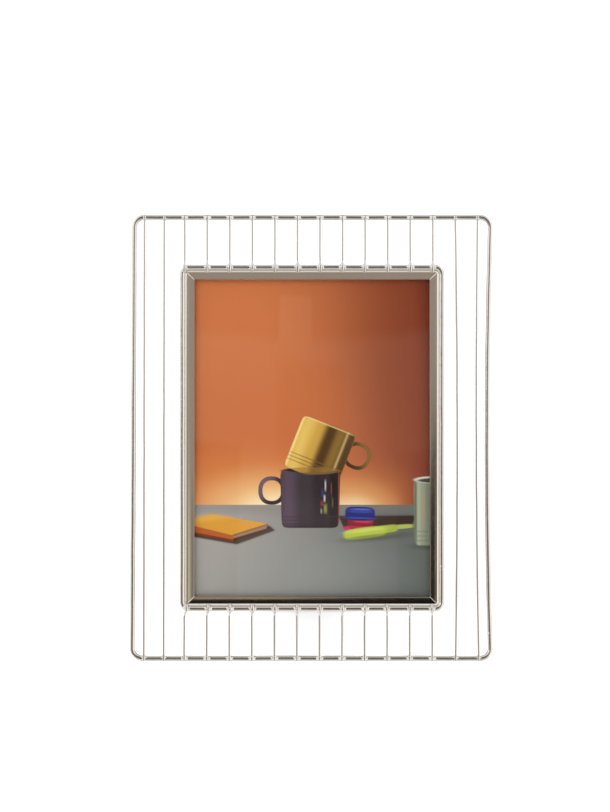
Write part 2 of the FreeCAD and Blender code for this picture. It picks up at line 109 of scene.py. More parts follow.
class Nodes:
    """Short calls for building a shader's nodes."""

    def __init__(self, tree):
        self.tree = tree

    def add(self, kind, inputs=None, **settings):
        node = self.tree.nodes.new(kind)
        for key, value in settings.items():
            setattr(node, key, value)
        return self.fill(node, inputs or {})

    def fill(self, node, inputs):
        for key, value in inputs.items():
            socket = node.inputs[key]
            if isinstance(value, bpy.types.NodeSocket):
                self.tree.links.new(value, socket)
            elif socket.type == "RGBA":
                socket.default_value = (*value, 1.0)
            else:
                socket.default_value = value
        return node

    def math(self, operation, a, b=0.0, c=0.0):
        return self.add("ShaderNodeMath", {0: a, 1: b, 2: c}, operation=operation).outputs[0]

    def mix(self, factor, a, b):
        return self.add("ShaderNodeMix", {0: factor, 6: a, 7: b}, data_type="RGBA").outputs[2]

    def smooth(self, value, low, high, to_low=0.0, to_high=1.0):
        inputs = {0: value, 1: low, 2: high, 3: to_low, 4: to_high}
        return self.add("ShaderNodeMapRange", inputs, interpolation_type="SMOOTHSTEP").outputs[0]

    def noise(self, where, scale, detail=2.0, rough=0.5, stretch=None):
        if stretch:
            where = self.add("ShaderNodeMapping", {"Vector": where, "Scale": stretch}).outputs[0]
        inputs = {"Vector": where, "Scale": scale, "Detail": detail, "Roughness": rough}
        return self.add("ShaderNodeTexNoise", inputs).outputs["Fac"]

    def bump(self, height, strength, distance, normal=None):
        inputs = {"Height": height, "Strength": strength, "Distance": distance}
        if normal is not None:
            inputs["Normal"] = normal
        return self.add("ShaderNodeBump", inputs).outputs[0]


def colour(text):
    """A linear colour from a plain hex one."""
    parts = [int(text[i : i + 2], 16) / 255 for i in (0, 2, 4)]
    return tuple(p / 12.92 if p <= 0.04045 else ((p + 0.055) / 1.055) ** 2.4 for p in parts)


def material(name):
    """A new material: its nodes, its Principled shader and the piece's own coordinates."""
    made = bpy.data.materials.new(name)
    made.use_nodes = True
    nodes = Nodes(made.node_tree)
    shader = made.node_tree.nodes["Principled BSDF"]
    where = nodes.add("ShaderNodeTexCoord").outputs["Object"]
    return made, nodes, shader, where


def plated(name, tint, rough, wave, pits):
    """Bright nickel plate: faint clouding, polishing haze, shallow waves and a few tiny pits."""
    made, n, shader, where = material(name)
    cloud = n.noise(where, 90.0, 4.0, 0.6)
    haze = n.noise(where, 700.0, 3.0, 0.6)
    worn = n.math("MULTIPLY_ADD", haze, 0.06, rough)
    waves = n.bump(n.noise(where, 160.0, 2.0, 0.5), wave, 0.0004)
    specks = n.smooth(n.noise(where, 2600.0, 1.0, 0.5), 0.66, 0.8)
    look = {"Base Color": n.mix(cloud, *tint), "Metallic": 1.0}
    look["Roughness"] = n.math("MULTIPLY_ADD", cloud, 0.05, worn)
    look["Normal"] = n.bump(specks, pits, 0.00004, waves)
    n.fill(shader, look)
    return made


def zinc(name, tint):
    """Zinc-plated pressed steel: brushed one way, with a mottled dull bloom."""
    made, n, shader, where = material(name)
    bloom = n.noise(where, 260.0, 5.0, 0.65)
    brushed = n.noise(where, 900.0, 2.0, 0.5, stretch=(0.06, 1.0, 1.0))
    dull = tuple(c * 0.72 for c in tint)
    rough = n.math("MULTIPLY_ADD", bloom, 0.25, 0.22)
    look = {"Base Color": n.mix(n.smooth(bloom, 0.35, 0.7), tint, dull), "Metallic": 1.0}
    look["Roughness"] = n.math("MULTIPLY_ADD", brushed, 0.12, rough)
    look["Normal"] = n.bump(brushed, 0.25, 0.00006)
    n.fill(shader, look)
    return made


def covered_board(name):
    """Hardboard wrapped in black grained paper, a little dusty."""
    made, n, shader, where = material(name)
    cells = n.add("ShaderNodeTexVoronoi", {"Vector": where, "Scale": 900.0}, feature="F1")
    grain = n.math("MULTIPLY_ADD", n.noise(where, 1500.0, 3.0, 0.6), 0.5, cells.outputs[0])
    dust = n.smooth(n.noise(where, 60.0, 5.0, 0.7), 0.45, 0.8)
    look = {"Base Color": n.mix(dust, (0.016, 0.015, 0.0145), (0.034, 0.032, 0.030))}
    look["Roughness"] = n.math("MULTIPLY_ADD", grain, 0.2, 0.48)
    look["Normal"] = n.bump(grain, 0.5, 0.00012)
    n.fill(shader, look)
    return made


def fibre_edge(name, light, dark, layers):
    """The cut edge of hardboard or paperboard: pressed fibres in thin layers."""
    made, n, shader, where = material(name)
    fibres = n.noise(where, 700.0, 5.0, 0.7, stretch=(0.25, layers, 0.25))
    look = {"Base Color": n.mix(n.smooth(fibres, 0.3, 0.7), dark, light), "Roughness": 0.9}
    look["Normal"] = n.bump(fibres, 0.6, 0.00015)
    n.fill(shader, look)
    return made


def clear_glass(name):
    """Window glass that lets lamp light straight through to the picture."""
    made, n, shader, where = material(name)
    look = {"Base Color": (0.985, 1.0, 0.992), "Transmission Weight": 1.0, "IOR": 1.5}
    look["Roughness"] = n.smooth(n.noise(where, 60.0, 3.0, 0.6), 0.45, 0.9, 0.0, 0.02)
    n.fill(shader, look)
    rays = n.add("ShaderNodeLightPath").outputs
    through = n.add("ShaderNodeBsdfTransparent", {"Color": (0.96, 0.975, 0.968)}).outputs[0]
    seen = n.add("ShaderNodeMixShader", {0: rays["Is Diffuse Ray"], 1: shader.outputs[0], 2: through})
    lit = n.add("ShaderNodeMixShader", {0: rays["Is Shadow Ray"], 1: seen.outputs[0], 2: through})
    n.fill(made.node_tree.nodes["Material Output"], {"Surface": lit.outputs[0]})
    return made


# ---- The printed picture ----


class Picture(Nodes):
    """Paints soft-edged shapes over each other, in millimetres from the print's middle."""

    def __init__(self, tree, where):
        super().__init__(tree)
        self.where = where
        self.x, self.y, _ = self.add("ShaderNodeSeparateXYZ", {0: where}).outputs
        self.now = None

    def blob(self, at, size, tilt=0.0, square=2.0, blur=0.5, taper=0.0):
        """1 inside a shape that runs from an ellipse, at square 2, to a box. It is size across."""
        half = (size[0] / 2, size[1] / 2)
        inputs = {"Vector": self.where, "Location": (*at, 0), "Scale": (*half, 1)}
        inputs["Rotation"] = (0, 0, math.radians(tilt))
        turned = self.add("ShaderNodeMapping", inputs, vector_type="TEXTURE")
        across, up, _ = self.add("ShaderNodeSeparateXYZ", {0: turned.outputs[0]}).outputs
        if taper:
            across = self.math("MULTIPLY", across, self.math("MULTIPLY_ADD", up, taper, 1.0))
        powers = [self.math("POWER", self.math("ABSOLUTE", side), square) for side in (across, up)]
        radius = self.math("POWER", self.math("ADD", *powers), 1 / square)
        edge = blur / min(half)
        return self.smooth(radius, 1 - edge, 1 + edge, 1.0, 0.0)

    def beyond(self, angle, offset, blur=0.5):
        """1 on the far side of a line, which faces angle and lies offset from the middle."""
        a = math.radians(angle)
        along = self.math("MULTIPLY", self.x, math.cos(a))
        along = self.math("MULTIPLY_ADD", self.y, math.sin(a), along)
        return self.smooth(along, offset - blur, offset + blur)

    def polygon(self, *corners, blur=0.25):
        """1 inside a convex outline, whose corners run clockwise or anticlockwise."""
        edges = list(zip(corners, corners[1:] + corners[:1]))
        clockwise = sum((b[0] - a[0]) * (b[1] + a[1]) for a, b in edges) > 0
        sides = []
        for a, b in edges:
            inwards = math.degrees(math.atan2(b[1] - a[1], b[0] - a[0])) + (-90 if clockwise else 90)
            facing = math.radians(inwards)
            offset = a[0] * math.cos(facing) + a[1] * math.sin(facing)
            sides.append(self.beyond(inwards, offset, blur))
        return self.both(*sides)

    def both(self, *masks):
        result = masks[0]
        for mask in masks[1:]:
            result = self.math("MULTIPLY", result, mask)
        return result

    def without(self, mask, hole):
        return self.math("MULTIPLY", mask, self.math("SUBTRACT", 1.0, hole))

    def paint(self, mask, tint, strength=1.0):
        if strength != 1.0:
            mask = self.math("MULTIPLY", mask, strength)
        tint = colour(tint) if isinstance(tint, str) else tint
        self.now = self.mix(mask, self.now, tint)

    def blobs(self, *rows):
        """Each row is where, size, tilt, squareness, blur, colour and, where it isn't 1, strength."""
        for at, size, tilt, square, blur, *tint in rows:
            self.paint(self.blob(at, size, tilt, square, blur), *tint)

    def fade(self, angle, start, end, first, last):
        """A colour that runs from first to last across the picture."""
        middle = (start + end) / 2
        share = self.beyond(angle, middle, abs(end - start) / 2)
        return self.mix(share, colour(first), colour(last))


HORIZON = -40.9
PRINT_DENSITY = 0.86
TALL = 60  # taller than any mug, for streaks that run from its rim to its foot


def paint_wall(p):
    """A warm orange wall that darkens to the right, with two glows along the table's far edge."""
    p.now = p.fade(5, -34, 94, "c46f42", "7b3822")
    p.blobs(((60, 40), (60, 150), 0, 2, 24, "7e3822", 0.45))
    p.paint(p.beyond(4, 71, 5), "6a3020", 0.5)
    p.blobs(
        ((-40, -4), (100, 90), 0, 2, 36, "bb6234", 0.6),
        ((-34, -46), (108, 56), 0, 2, 22, "d98c4c", 0.7),
        ((-24, -48), (76, 40), 0, 2, 16, "e9c488", 0.85),
        ((-18, -50), (46, 26), 0, 2, 10, "f2e6c4", 0.92),
        ((32, -48), (58, 48), 0, 2, 18, "c87a42", 0.6),
        ((26, -49), (42, 34), 0, 2, 13, "dfae70", 0.75),
        ((24, -51), (30, 22), 0, 2, 8, "eddfc0", 0.9),
    )
    p.paint(p.beyond(-14, 66, 8), "7a3524", 0.5)


def paint_table(p):
    table = p.beyond(-90, -HORIZON, 0.3)
    p.paint(table, p.fade(0, -78, 66, "a09a94", "595d59"))
    p.paint(p.both(table, p.blob((4, -84), (90, 40), 0, 2, 22)), "8d8f8e", 0.5)
    p.paint(p.both(table, p.beyond(90, -46.5, 4)), "7d706c", 0.4)
    p.paint(p.both(table, p.beyond(0, 60, 16)), "5f645c", 0.5)


NOTEBOOK = (
    (((-76, -56), (-26, -53.5), (-22.5, -56.6), (-46, -65.2), (-76, -60)), 0.8, "3a241c", 0.9),
    (((-49, -59.2), (-27.4, -52.9), (-28.2, -56.6), (-48.6, -63.0)), 0.25, "8d7568", 1.0),
    (((-48.6, -61.6), (-27.8, -55.4), (-28.2, -56.9), (-48.6, -63.4)), 0.25, "5a2f1c", 1.0),
    (((-76, -52.4), (-48.2, -59.3), (-48.4, -63.3), (-76, -58.2)), 0.25, "ae5a2c", 1.0),
    (((-76, -56.9), (-48.4, -62.2), (-48.4, -63.4), (-76, -58.4)), 0.3, "6a301c", 0.85),
    (((-76, -49.6), (-61.5, -46.5), (-26.6, -52.6), (-48.4, -59.6), (-76, -52.8)), 0.25, "cf9238", 1.0),
    (((-76, -49.6), (-61.5, -46.5), (-50, -48.6), (-76, -52.8)), 2.0, "dba850", 0.6),
    (((-48.6, -59.1), (-26.8, -52.3), (-26.8, -53.2), (-48.6, -60.2)), 0.2, "8a5524", 0.8),
)  # shadow, pages, back cover, spine, spine's foot, cover, sheen and edge: corners, blur and tint


def paint_notebook(p):
    for corners, blur, tint, strength in NOTEBOOK:
        p.paint(p.polygon(*corners, blur=blur), tint, strength)


class Mug:
    """A plain straight mug, painted as a body, streaks of light, grooves and a ring handle."""

    def __init__(self, p, at, size, tilt, taper=-0.03):
        self.p, self.at, self.size, self.tilt = p, at, size, tilt
        self.body = p.blob(at, size, tilt, 12, 0.3, taper)

    def spot(self, across, up):
        x, y = across * self.size[0] / 2, up * self.size[1] / 2
        a = math.radians(self.tilt)
        return (
            self.at[0] + x * math.cos(a) - y * math.sin(a),
            self.at[1] + x * math.sin(a) + y * math.cos(a),
        )

    def handle(self, at, size, thick, dark, light, light_from):
        hole = (size[0] - 2 * thick, size[1] - 2 * thick)
        ring = self.p.without(
            self.p.blob(at, size, self.tilt, 2.3, 0.3),
            self.p.blob(at, hole, self.tilt, 2.3, 0.3),
        )
        self.p.paint(ring, dark)
        a = math.radians(light_from)
        offset = at[0] * math.cos(a) + at[1] * math.sin(a)
        self.p.paint(self.p.both(ring, self.p.beyond(light_from, offset + 2, 4)), light, 0.8)

    def streaks(self, mask, *rows):
        """Each row is where across, where up, its width, height, blur, colour and strength."""
        for across, up, wide, tall, blur, tint, strength in rows:
            blob = self.p.blob(self.spot(across, up), (wide, tall), self.tilt, 6, blur)
            self.p.paint(self.p.both(mask, blob), tint, strength)

    def grooves(self, mask, first, step, tint, strength):
        for k in range(3):
            at = self.spot(0, first - k * step)
            line = self.p.blob(at, (self.size[0] * 1.1, 0.75), self.tilt, 6, 0.3)
            self.p.paint(self.p.both(mask, line), tint, strength)


def paint_mugs(p):
    yellow = Mug(p, (4.9, -7.8), (34.6, 33.6), -21.5, 0.0)
    yellow.handle((27.6, -11.0), (16.8, 16.6), 2.2, "3f2712", "87602f", 10)
    p.paint(yellow.body, "bf9540")
    yellow.streaks(
        yellow.body,
        (-0.74, 0.0, 8.0, TALL, 4.0, "ddb65c", 0.9),
        (-0.96, 0.0, 1.4, TALL, 0.7, "ecd48c", 0.8),
        (0.56, 0.0, 21.0, TALL, 4.0, "6a4a20", 0.97),
        (0.16, 0.0, 8.0, TALL, 2.6, "4a2e12", 0.95),
        (0.46, 0.0, 5.0, TALL, 2.5, "8a672c", 0.7),
        (0.70, 0.0, 1.3, TALL, 0.7, "b39a66", 0.9),
        (0.90, 0.0, 4.0, TALL, 1.2, "4c3114", 0.9),
        (-0.1, 0.975, 36, 0.8, 0.35, "e6cd8c", 0.6),
    )
    yellow.grooves(yellow.body, -0.42, 0.13, "75552a", 0.65)
    purple = Mug(p, (-1.1, -37.3), (35.8, 35.4), 0)
    purple.handle((-24.6, -32.2), (16.4, 17.4), 2.4, "32222a", "6d5766", 150)
    inside = p.blob((-1.1, -20.2), (35.6, 4.6), 0, 2, 0.25)
    p.paint(p.without(inside, yellow.body), "2a1e22")
    rim_front = p.without(purple.body, p.blob((-1.1, -18.6), (35.0, 5.4), 0, 2, 0.25))
    p.paint(rim_front, "3b3136")
    purple.streaks(
        rim_front,
        (-0.74, 0, 8.5, TALL, 4.0, "594656", 0.85),
        (0.36, 0, 10.0, TALL, 3.0, "2b2126", 0.85),
        (0.84, 0, 7.0, TALL, 1.6, "22191c", 0.95),
        (0.98, 0, 0.9, TALL, 0.4, "86402f", 0.9),
        (0.52, 0.46, 0.8, 5.0, 0.35, "cfc6c2", 0.85),
        (0.42, 0.22, 1.3, 4.0, 0.5, "2f3a7c", 0.9),
        (0.49, 0.02, 1.0, 3.4, 0.4, "cfcbb4", 0.75),
        (0.40, -0.16, 1.4, 2.6, 0.5, "8c332c", 0.85),
        (0.52, -0.34, 1.8, 5.0, 0.6, "868a3c", 0.85),
        (0.38, -0.42, 0.9, 2.4, 0.4, "b8a894", 0.6),
        (0.72, 0.34, 0.7, 6.0, 0.35, "93492c", 0.7),
        (0.76, -0.12, 0.9, 5.0, 0.4, "74743a", 0.5),
        (0.0, -1.0, 40, 3.0, 1.4, "2c222a", 0.75),
    )
    purple.grooves(rim_front, -0.62, 0.12, "3a2c36", 0.65)
    p.paint(p.both(inside, yellow.body), "8a662e", 0.6)


def paint_desk_things(p):
    """A red and a blue cap, a highlighter and a pale mug at the picture's right edge."""
    p.paint(p.polygon((16, -47.6), (64, -47.4), (60, -55.4), (20, -56.2), blur=0.8), "341a10", 0.94)
    p.blobs(
        ((40, -60.8), (38, 3.4), 5, 2.4, 1.3, "4d4a42", 0.75),
        ((29.6, -52.2), (15.4, 8.4), -3, 7, 0.3, "7e1424"),
        ((31.0, -51.0), (10.4, 2.0), -3, 4, 0.5, "cf3040", 0.85),
        ((28.4, -54.6), (12.0, 1.2), -3, 4, 0.4, "b42a4a", 0.8),
        ((21.2, -55.2), (5.0, 2.0), 0, 2.4, 0.35, "b82c58"),
        ((29.4, -46.4), (18.2, 8.6), -2, 3.6, 0.3, "171f66"),
        ((29.6, -44.6), (14, 2.6), -2, 3, 0.6, "2f3f9c", 0.85),
        ((30.4, -43.6), (9, 0.8), -2, 3, 0.4, "5c6cc4", 0.7),
        ((29.2, -49.0), (15, 0.9), -2, 4, 0.4, "3558ac", 0.6),
        ((55.8, -54.2), (12, 2.6), 4, 3.0, 0.35, "a3ae52"),
        ((46.0, -55.6), (13, 4.6), 6, 3.6, 0.35, "9aa63f"),
        ((32.4, -58.0), (26, 6.6), 7, 3.4, 0.4, "aab644"),
        ((33.0, -56.4), (22, 1.8), 7, 3.0, 0.6, "c3cc62", 0.8),
        ((34.0, -60.4), (24, 1.8), 7, 3.0, 0.7, "6f7a2a", 0.8),
        ((74, -66.4), (26, 4), 0, 2, 1.2, "4c4f48", 0.8),
    )
    pale = Mug(p, (75.5, -45.4), (26, 40.6), 0)
    p.paint(pale.body, "8d917a")
    pale.streaks(
        pale.body,
        (-0.94, 0, 2.0, TALL, 0.8, "5c5a48", 0.8),
        (-0.78, 0, 2.0, TALL, 1.0, "a4a890", 0.8),
        (-0.40, 0, 2.6, TALL, 1.2, "7c866f", 0.8),
        (-0.56, 0.1, 1.6, 14, 0.8, "b98a6e", 0.5),
        (-0.2, 0.2, 2.4, 18, 1.0, "7c8a88", 0.6),
    )
    pale.grooves(pale.body, -0.58, 0.14, "6d7768", 0.7)
    p.blobs(
        ((75.5, -25.6), (26, 4.4), 0, 2, 0.3, "cfd0bd"),
        ((76.2, -26.0), (23.6, 3.0), 0, 2, 0.3, "4e4038"),
    )


def printed_paper(name, width, height):
    """A print of a simple still life on resin-coated paper, spread over the piece's picture map."""
    made, n, shader, where = material(name)
    uv = n.add("ShaderNodeUVMap", uv_map="picture").outputs[0]
    inputs = {"Vector": uv, "Location": (-width / 2, -height / 2, 0), "Scale": (width, height, 1)}
    p = Picture(made.node_tree, n.add("ShaderNodeMapping", inputs).outputs[0])
    for paint in (paint_wall, paint_table, paint_notebook, paint_mugs, paint_desk_things):
        paint(p)
    grain = n.noise(where, 3000.0, 2.0, 0.6)
    speck = n.math("MULTIPLY_ADD", grain, 0.08, PRINT_DENSITY)
    toned = n.add("ShaderNodeVectorMath", {0: p.now, "Scale": speck}, operation="SCALE")
    look = {"Base Color": toned.outputs[0], "Specular IOR Level": 0.08}
    look["Roughness"] = n.math("MULTIPLY_ADD", grain, 0.1, 0.4)
    look["Normal"] = n.bump(grain, 0.1, 0.00002)
    n.fill(shader, look)
    return made


# ---- Mesh helpers ----


def finished(name, work, sharp, finish, body, replaces, matrix=None):
    """Turns a worked mesh into a piece with a material, riding on its body."""
    bmesh.ops.recalc_face_normals(work, faces=work.faces)
    mesh = bpy.data.meshes.new(name)
    work.to_mesh(mesh)
    work.free()
    if matrix:
        mesh.transform(matrix)
    mesh.shade_smooth()
    mesh.set_sharp_from_angle(angle=math.radians(sharp))
    mesh.materials.append(finish)
    made = bpy.data.objects.new(name, mesh)
    bpy.context.scene.collection.objects.link(made)
    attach(made, body)
    if replaces:
        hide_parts(*replaces)
    return made


def piece(name, points, faces, finish, slot, replaces=(), sharp=35):
    """A closed mesh in panel millimetres, placed and riding on the frame."""
    mesh = bpy.data.meshes.new(name + "_draft")
    mesh.from_pydata([tuple(p) for p in points], [], faces)
    work = bmesh.new()
    work.from_mesh(mesh)
    bpy.data.meshes.remove(mesh)
    return finished(name, work, sharp, finish, "frame", replaces, PANEL)


def unit(vectors):
    return vectors / np.linalg.norm(vectors, axis=-1, keepdims=True)


def ring_faces(rings, sides, closed):
    """Quads between neighbouring rings, with end caps on an open tube."""
    faces = []
    for i in range(rings if closed else rings - 1):
        a = i * sides
        b = ((i + 1) % rings) * sides
        for j in range(sides):
            k = (j + 1) % sides
            faces.append((a + j, a + k, b + k, b + j))
    if not closed:
        faces.append(tuple(range(sides)))
        faces.append(tuple(range((rings - 1) * sides, rings * sides)))
    return faces


def tube(centres, radii, sides, across, closed=False):
    """Points and faces of a round tube. across is a direction that is never along the line."""
    if closed:
        along = unit(np.roll(centres, -1, 0) - np.roll(centres, 1, 0))
    else:
        along = unit(np.gradient(centres, axis=0))
    across = np.array(across, float)
    first = unit(across - (along @ across)[:, None] * along)
    second = np.cross(along, first)
    turn = np.linspace(0, 2 * math.pi, sides, endpoint=False)
    spokes = (
        np.cos(turn)[None, :, None] * first[:, None]
        + np.sin(turn)[None, :, None] * second[:, None]
    )
    points = centres[:, None] + spokes * np.reshape(radii, (-1, 1, 1))
    return points.reshape(-1, 3), ring_faces(len(centres), sides, closed)


def waver(length, seed, size, wavelengths):
    """A slow random wander along a line, from a few sine waves."""
    chance = random.Random(seed)
    total = np.zeros_like(length)
    for wavelength in wavelengths:
        phase = chance.uniform(0, 2 * math.pi)
        total += chance.uniform(0.4, 1.0) * np.sin(2 * math.pi * length / wavelength + phase)
    return total * size / len(wavelengths)


def lengths_along(centres):
    steps = np.linalg.norm(np.diff(centres, axis=0), axis=1)
    return np.concatenate([[0.0], np.cumsum(steps)])


def filled_in(points, spacing):
    """The points of a line, all but its last, with more points between them."""
    filled = []
    for here, following in zip(points, points[1:]):
        here, following = np.array(here), np.array(following)
        count = max(1, int(np.linalg.norm(following - here) / spacing))
        filled += [here + (following - here) * k / count for k in range(count)]
    return filled


def loop_line(half_w, half_h, corner, y, middle_z, spacing=3.0, corner_steps=12):
    """The points of a rounded rectangle in the panel's plane, with evenly stepped corners."""
    points = []
    for sx, sz, start in ((1, -1, -90), (1, 1, 0), (-1, 1, 90), (-1, -1, 180)):
        for step in range(corner_steps + 1):
            a = math.radians(start + 90 * step / corner_steps)
            x = sx * (half_w - corner) + corner * math.cos(a)
            z = sz * (half_h - corner) + corner * math.sin(a)
            points.append((x, y, middle_z + z))
    return np.array(filled_in(points + points[:1], spacing))


def bent_line(points, radii, spacing=1.2):
    """Straight runs with a round bend at each inner point, as dense points."""
    points = [np.array(p, float) for p in points]
    line = [points[0]]
    for before, corner, after, radius in zip(points, points[1:], points[2:], radii):
        arriving, leaving = unit(corner - before), unit(after - corner)
        turn = math.acos(np.clip(arriving @ leaving, -1, 1))
        inwards = unit(leaving - arriving)
        centre = corner + inwards * radius / math.cos(turn / 2)
        for share in np.linspace(-0.5, 0.5, 9):
            spin = turn * share
            spoke = -inwards * math.cos(spin) + unit(arriving + leaving) * math.sin(spin)
            line.append(centre + spoke * radius)
    line.append(points[-1])
    return np.array(filled_in(line, spacing) + [points[-1]])


CUT_EDGE = 0.14
CUT_MID = 0.35  # share of the cut edge at which its middle ring lies


def cut_ends(centres, radius):
    """Adds the small rounded edge of a cropped wire at both ends. Returns centres and radii."""
    first, last = centres[0], centres[-1]
    start, end = unit(centres[1] - first) * CUT_EDGE, unit(last - centres[-2]) * CUT_EDGE
    head = [first, first + start * CUT_MID, first + start]
    tail = [last - end, last - end * CUT_MID, last]
    centres = np.concatenate([head, centres[1:-1], tail])
    radii = np.full(len(centres), radius)
    radii[[0, -1]] = radius - CUT_EDGE
    radii[[1, -2]] = radius - CUT_EDGE * CUT_MID
    return centres, radii


NEWTON_STEPS = 3
SLOPE_REACH = 0.05  # share of a step over which the field's slope is measured
LEAST_SLOPE = 0.05


def surface_net(field, low, high, step):
    """Closed quad mesh of the surface where field is zero, fitted to it by a few Newton steps."""
    counts = np.ceil((np.array(high) - low) / step).astype(int) + 1
    axes = [low[i] + step * np.arange(counts[i]) for i in range(3)]
    grid = np.stack(np.meshgrid(*axes, indexing="ij"), -1)
    value = field(grid)
    total = np.zeros((*(counts - 1), 3))
    hits = np.zeros(counts - 1)
    crossings = []
    for axis in range(3):
        near = tuple(slice(None, -1) if i == axis else slice(None) for i in range(3))
        far = tuple(slice(1, None) if i == axis else slice(None) for i in range(3))
        a, b = value[near], value[far]
        crossed = (a < 0) != (b < 0)
        share = np.where(crossed, a / np.where(crossed, a - b, 1), 0)
        where = grid[near] + share[..., None] * (grid[far] - grid[near])
        where = where * crossed[..., None]
        others = [i for i in range(3) if i != axis]
        for d0 in (0, 1):
            for d1 in (0, 1):
                part = [slice(None)] * 3
                for other, d in zip(others, (d0, d1)):
                    part[other] = slice(d, counts[other] - 1 + d)
                total += where[tuple(part)]
                hits += crossed[tuple(part)]
        crossings.append((axis, others, crossed, a < 0))
    active = hits > 0
    number = np.full(hits.shape, -1)
    number[active] = np.arange(active.sum())
    points = total[active] / hits[active][:, None]
    faces = []
    for axis, (first, second), crossed, inside in crossings:
        for cell in np.argwhere(crossed):
            if any(not 0 < cell[other] < counts[other] - 1 for other in (first, second)):
                continue
            quad = []
            for d0, d1 in ((1, 1), (0, 1), (0, 0), (1, 0)):
                at = cell.copy()
                at[first] -= d0
                at[second] -= d1
                quad.append(int(number[tuple(at)]))
            if inside[tuple(cell)] == (axis == 1):
                quad.reverse()
            faces.append(tuple(quad))
    offsets = np.eye(3) * step * SLOPE_REACH
    for _ in range(NEWTON_STEPS):
        rises = [field(points + offset) - field(points - offset) for offset in offsets]
        slope = np.stack(rises, -1) / (2 * step * SLOPE_REACH)
        size = np.maximum((slope**2).sum(-1), LEAST_SLOPE)
        move = field(points)[:, None] * slope / size[:, None]
        points = points - np.clip(move, -step / 2, step / 2)
    return points, faces


# ---- Wirework ----


LOOP_WANDER = ((0.10, (83, 47, 31)), (0.06, (97, 53, 29)), (0.08, (71, 43, 37)))
LOOP_SWELL = (0.02, (23, 11, 7))  # each is a size and the wavelengths that it comes in
BAR_WANDER = (0.12, (61, 37, 23))
FAR = 1000.0
JOINT_STEPS = 25
JOINT_BEAD = (0.13, 0.55)  # how proud it is, and how wide
JOINT_GROOVE = (0.07, 1.1, 0.3)  # how deep it is, how far off, and how wide


class Loop:
    """One heavy wire loop, measured from its CAD node."""

    def __init__(self, node, bow=0.0, left_lean=(0.0, 0.0)):
        low, high = box_in(node)
        self.node = node
        self.bow = bow
        self.left_lean = left_lean
        self.corner = CORNER_R[node]
        self.half_w = (high[0] - low[0]) / 2 - HEAVY_R
        self.half_h = (high[2] - low[2]) / 2 - HEAVY_R
        self.y = (low[1] + high[1]) / 2
        self.middle_z = (low[2] + high[2]) / 2

    def line(self):
        line = loop_line(self.half_w, self.half_h, self.corner, self.y, self.middle_z)
        up = (line[:, 2] - self.middle_z) / (self.half_h - self.corner)
        right = np.clip((line[:, 0] - self.half_w + self.corner) / self.corner, 0, 1)
        line[:, 0] -= self.bow * np.clip(1 - up**2, 0, 1) * right
        left = np.clip((self.corner - self.half_w - line[:, 0]) / self.corner, 0, 1)
        line[:, 0] += left * np.interp(up, (-1, 1), self.left_lean)
        return line

    def distance(self, points):
        """Distance from the wire's surface, near its top and bottom runs and its corners."""
        x = np.abs(points[..., 0]) - (self.half_w - self.corner)
        z = np.abs(points[..., 2] - self.middle_z) - (self.half_h - self.corner)
        outside = np.hypot(np.maximum(x, 0), np.maximum(z, 0))
        in_plane = outside + np.minimum(np.maximum(x, z), 0) - self.corner
        return np.hypot(in_plane, points[..., 1] - self.y) - HEAVY_R

    def height_at(self, x, side):
        """The centre line's height where the upright at x crosses it, above or below."""
        past = max(abs(x) - (self.half_w - self.corner), 0.0)
        drop = self.corner - math.sqrt(max(self.corner**2 - past**2, 0.0))
        return self.middle_z + side * (self.half_h - drop)

    def build(self, name, finish, seed):
        """The wire, a little uneven by hand, with a butt weld on its right side."""
        line = self.line()
        gone = lengths_along(line)
        for axis, wander in enumerate(LOOP_WANDER):
            line[:, axis] += waver(gone, seed + axis, *wander)
        radii = HEAVY_R + waver(gone, seed + 3, *LOOP_SWELL)
        from_joint = np.hypot(line[:, 2] - BUTT_WELD_Z[self.node], (line[:, 0] < 0) * FAR)
        line, radii = self.joint_detail(line, radii, np.argmin(from_joint))
        points, faces = tube(line, radii, HEAVY_SIDES, (0, 1, 0), closed=True)
        return piece(name, points, faces, finish, "loop_plating", [self.node])

    def joint_detail(self, line, radii, order):
        """Finer rings round the butt weld: a low ground bead with a groove on each side."""
        before, after = line[order - 2], line[(order + 2) % len(line)]
        steps = np.linspace(-1, 1, JOINT_STEPS)
        span = (after - before) / 2
        fine = (after + before) / 2 + steps[:, None] * span
        off = steps * np.linalg.norm(span)
        proud, bead_w = JOINT_BEAD
        deep, groove_at, groove_w = JOINT_GROOVE
        bead = proud * np.exp(-((off / bead_w) ** 2))
        groove = deep * np.exp(-(((abs(off) - groove_at) / groove_w) ** 2))
        line = np.concatenate([line[: order - 2], fine, line[order + 3 :]])
        radii = np.concatenate([radii[: order - 2], HEAVY_R + bead - groove, radii[order + 3 :]])
        return line, radii


